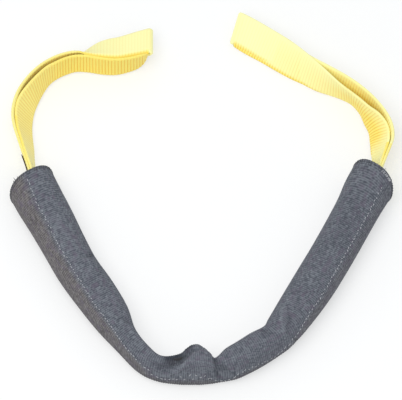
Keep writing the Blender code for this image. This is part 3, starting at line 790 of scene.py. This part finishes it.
def eye_line(inner_rows, outer_rows, tip_row, at_start):
    """The strap of an eye: out of the sleeve along the inner ply, round the tip and back."""
    inner, inner_width = stations((*inner_rows, tip_row))
    outer, outer_width = stations(outer_rows[::-1])
    _, face = width_direction(*np.array(tip_row[3:5], float))
    face = np.append(face, 0)
    ahead = np.append(np.cross(inner_width[-1], face[:3]), 0)
    ahead = ahead * np.sign(ahead @ (inner[-1] - inner[-3]))
    middle = inner[-1] + face * PLY_PITCH / 2
    bend = np.linspace(0, math.pi, TIP_STEPS)[1:-1]
    fold = np.array(
        [middle + PLY_PITCH / 2 * (math.sin(b) * ahead * 1.5 - math.cos(b) * face) for b in bend]
    )
    s = np.array([HINGE_DEPTH, 0.022, 0.012])
    s = s if at_start else SLEEVE_LENGTH - s
    inner_root, upright = in_sleeve(s, -EYE_PITCH / 2)
    outer_root, _ = in_sleeve(s, EYE_PITCH / 2)
    inner = np.vstack([inner_root, inner])
    inner_width = np.vstack([upright, inner_width])
    outer = np.vstack([[middle + face * PLY_PITCH / 2], outer, outer_root[::-1]])
    outer_width = np.vstack([[inner_width[-1]], outer_width, upright])
    centres = np.vstack([smooth(inner, EYE_STEPS), fold, smooth(outer, EYE_STEPS)])
    fold_width = np.tile(inner_width[-1], (len(fold), 1))
    widths = [smooth(inner_width, EYE_STEPS), fold_width, smooth(outer_width, EYE_STEPS)]
    return centres, unit(np.vstack(widths))


def ribbon(name, centres, widthways, material, width_share=1.0, curl=0.0, painted_lit_top=0.0, slants=SQUARE):
    """Webbing along a line: ribbed on both faces, with a rounded selvedge at each edge. Where
    it lies flat its near edge curls down and is painted in shade, and towards its top edge its
    ribs can flatten and its colour is painted pale as if lit."""
    along = lengths(centres[:, :3])
    count = int(along[-1] / STRAP_STEP)
    s = np.linspace(0, along[-1], count)
    middle, bold = np.split(read(s, along, centres), [3], axis=1)
    across = unit(read(s, along, widthways))
    flat = unit(np.cross(np.gradient(middle, axis=0), across))
    u = np.concatenate([np.linspace(-1, 1, POINTS_ACROSS), np.linspace(1, -1, POINTS_ACROSS)])
    v = np.concatenate([np.full(POINTS_ACROSS, 1.0), np.full(POINTS_ACROSS, -1.0)])
    edge = np.clip((1 - np.abs(u)) / EDGE_ROUND_SHARE, 0, 1)
    thick = STRAP_THICKNESS / 2 * (0.35 + 0.65 * np.sqrt(1 - (1 - edge) ** 2))
    near = -np.sign(across[:, 1:2]) * u
    turning = np.abs(np.gradient(unit(np.gradient(middle, axis=0)), axis=0))
    in_fold = turning.max(axis=1, keepdims=True) > 0.1
    lying = np.clip(np.abs(flat[:, 2:3]) * 1.5, 0, 1) * (curl > 0) * ~in_fold
    curled = lying * np.clip((near - (1 - CURLED_SHARE)) / CURLED_SHARE, 0, 1)
    # painted shade: the curled near edge is painted in the shaded yellow as if in its own shadow, and
    # the top edge is painted pale as if lit
    bold = np.maximum(bold * (1 - painted_lit_top * np.clip(u * 0.9, 0, 1)), np.minimum(curled * 2, 1))
    slant = np.interp(s, *np.array(slants, float).T)[:, None] * u * STRAP_WIDTH / 2
    phase = 2 * math.pi * (s[:, None] + slant) / STRAP_RIB_PITCH
    selvedge = np.abs(u) > SELVEDGE_SHARE
    rib = STRAP_RIB_HEIGHT / 2 * (np.abs(np.cos(phase / 2)) * 2 - 1.2) * np.where(selvedge, 0.35, 1)
    rib = rib * (0.1 + 0.9 * bold)
    beat = np.sin(phase + u * 40) * 0.00002
    height = (thick[None, :] + rib + beat) * v[None, :]
    share = np.interp(s, along, np.broadcast_to(width_share, along.shape))
    half_width = STRAP_WIDTH / 2 * share[:, None]
    skin = middle[:, None] + across[:, None] * (u * half_width)[..., None]
    skin = skin + flat[:, None] * height[..., None]
    room = np.clip(skin[..., 2].min(axis=1, keepdims=True) - LEAST_HEIGHT, 0, curl)
    skin[..., 2] -= room * curled**1.3
    columns = len(u)
    faces = grid_faces(count, columns)
    faces.append(tuple(reversed(range(columns))))
    faces.append(tuple(range((count - 1) * columns, count * columns)))
    crown = np.abs(np.cos(phase / 2))
    smooth_edge = (u > SMOOTH_EDGE_SHARE) | ((u < -SMOOTH_EDGE_SHARE) & (painted_lit_top == 0))
    crown = np.where(smooth_edge, 0.55 + 0.35 * crown, crown)
    made = build(name, skin.reshape(-1, 3), faces, material, crown=crown, bold=bold + 0 * crown)
    return made, along[-1]


webbing, webbing_shader, start = new_material("webbing", (0.97, 0.85, 0.32), 0.66, 0.05)
weave = start.node("ShaderNodeTexNoise", {"noise_dimensions": "3D"}, Scale=900.0, Detail=2.0)
weave = Sock(start.tree, weave.socket.node.outputs["Fac"])
# painted light: the rib grooves are painted darker as shade, and the strap is mixed from a pale lit
# yellow to a shaded amber yellow by its painted shade share
shade = (painted("crown").ramp(0.05, 0.9) * 0.85 + weave * 0.3).ramp(0.0, 1.0)
pale = shade.mix((0.98, 0.92, 0.42, 1), (0.985, 0.95, 0.47, 1))
shaded_amber = shade.mix((0.89, 0.52, 0.05, 1), (0.98, 0.81, 0.18, 1))
start.join(webbing_shader.inputs["Base Color"], painted("bold").mix(pale, shaded_amber))

left_line = eye_line(LEFT_INNER, LEFT_OUTER, LEFT_TIP, True)
right_line = eye_line(RIGHT_INNER, RIGHT_OUTER, RIGHT_TIP, False)
# how far the right eye's ribs are racked out of square, along its strap from inside the sleeve
RACKED = ((0.045, 0), (0.062, 0.3), (0.075, 0.42), (0.095, 0.36), (0.118, 0))
for name, line, node, body, depth_at, painted_lit_top, slants in (
    ("left_eye_strap", left_line, "left_eye_webbing", "left_eye", 0.0, 0.0, SQUARE),
    ("right_eye_strap", right_line, "right_eye_webbing", "right_eye", SLEEVE_LENGTH, 0.75, RACKED),
):
    strap, strap_length = ribbon(name, *line, webbing, curl=CURL, painted_lit_top=painted_lit_top, slants=slants)
    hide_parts(node)
    inside = abs(depth_at - SWING_FROM)
    mouth = abs(depth_at - SWING_FULL)
    root = in_sleeve([inside, mouth], 0)[0][:, :3]
    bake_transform(strap)


def gathered(s):
    """How much of its width the strap keeps, where the U's sharp bend gathers it up."""
    kept = FREE_SHARE
    for px, drawn_in, reach in GATHERS:
        middle = np.interp(px, route_rows[:, 0], route_along)
        kept = kept - drawn_in * np.exp(-(((s - middle) / reach) ** 2))
    return kept


run_s = np.linspace(HINGE_DEPTH, SLEEVE_LENGTH - HINGE_DEPTH, 240)
for name, offset, node in (
    ("run_outer_strap", PLY_PITCH / 2, "webbing_outer_ply"),
    ("run_inner_strap", -PLY_PITCH / 2, "webbing_inner_ply"),
):
    run, run_length = ribbon(name, *in_sleeve(run_s, offset), webbing, gathered(run_s))
    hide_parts(node)
    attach(run, "strap")


# The strap's lap.
# The strap's second end lies on the inner ply inside the sleeve, sewn down by three zigzag
# tacks. None of it shows while the sleeve covers it.
LAP_START, LAP_LENGTH = 0.0616, 0.062
TACK_HALF_LENGTH, TACK_HALF_HEIGHT, TACK_TURNS = 0.006, 0.009, 41
lap_s = np.linspace(LAP_START, LAP_START + LAP_LENGTH, 60)
lap_line = in_sleeve(lap_s, -1.5 * PLY_PITCH)
lap, lap_strap_length = ribbon("lap_end", *lap_line, webbing, gathered(lap_s))
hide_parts("webbing_lap_end")
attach(lap, "strap")
tack_thread, _, _ = new_material("tack_thread", (0.80, 0.60, 0.16), 0.6)
for letter, share in zip("abc", (0.2, 0.5, 0.8)):
    middle = LAP_START + share * LAP_LENGTH
    s = middle + np.linspace(-TACK_HALF_LENGTH, TACK_HALF_LENGTH, TACK_TURNS)
    place = in_sleeve(s, -2 * PLY_PITCH - 0.0001)[0][:, :3]
    place[:, 2] += TACK_HALF_HEIGHT * np.where(np.arange(TACK_TURNS) % 2, 1, -1)
    tack = threads("tack_" + letter, [place], STITCH_RADIUS, tack_thread)
    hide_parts("lap_tack_" + letter)
    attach(tack, "strap")


# The label.
# A blank dark woven tape, sewn on the outer face of the left eye's outer ply where it enters
# the sleeve, so that only its edge shows from above.
LABEL_WIDTH, LABEL_LENGTH, LABEL_THICKNESS = 0.020, 0.0265, 0.0004
LABEL_START, LABEL_GAP, LABEL_STITCH_RADIUS = HINGE_DEPTH - 0.004, 0.0003, 0.0002
centres, widthways = left_line[0][::-1, :3], left_line[1][::-1]
line_along = lengths(centres)
label_s = np.linspace(LABEL_START, LABEL_START + LABEL_LENGTH, 30)
middle = read(label_s, line_along, centres)
across = unit(read(label_s, line_along, widthways))
face = unit(np.cross(np.gradient(middle, axis=0), across))
face = face * np.sign(face @ np.array([-1.0, 0, 0]))[:, None]
label_middle = middle + face * (STRAP_THICKNESS / 2 + LABEL_GAP + LABEL_THICKNESS / 2)
label_middle = label_middle + across * ((STRAP_WIDTH - LABEL_WIDTH) / 2 + LABEL_GAP)
corners = [(-1, -1), (1, -1), (1, 1), (-1, 1)]
skin = np.stack(
    [
        label_middle + across * LABEL_WIDTH / 2 * a + face * LABEL_THICKNESS / 2 * b
        for a, b in corners
    ],
    axis=1,
)
label_faces = grid_faces(len(label_s), 4, turned=True)
label_faces += [(0, 1, 2, 3), tuple(reversed(range(len(label_s) * 4 - 4, len(label_s) * 4)))]
label_tape, _, _ = new_material("label_tape", (0.075, 0.040, 0.032), 0.6)
label = build("label", skin.reshape(-1, 3), label_faces, label_tape, smooth_faces=False)
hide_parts("blank_label")
root = in_sleeve([SWING_FROM, SWING_FULL], 0)[0][:, :3]
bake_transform(label)
stitch_paths = []
end = len(label_s) - 3
for height in np.linspace(-0.009, 0.007, 8):
    rise_by = across[end] * (height + np.linspace(0, 0.0014, 5))[:, None]
    out_by = face[end] * (LABEL_THICKNESS / 2 + 0.0002)
    stitch_paths.append(label_middle[end] + rise_by + out_by)
label_stitches = threads("label_thread", stitch_paths, LABEL_STITCH_RADIUS, seam_thread)
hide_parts("label_stitches")
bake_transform(label_stitches)
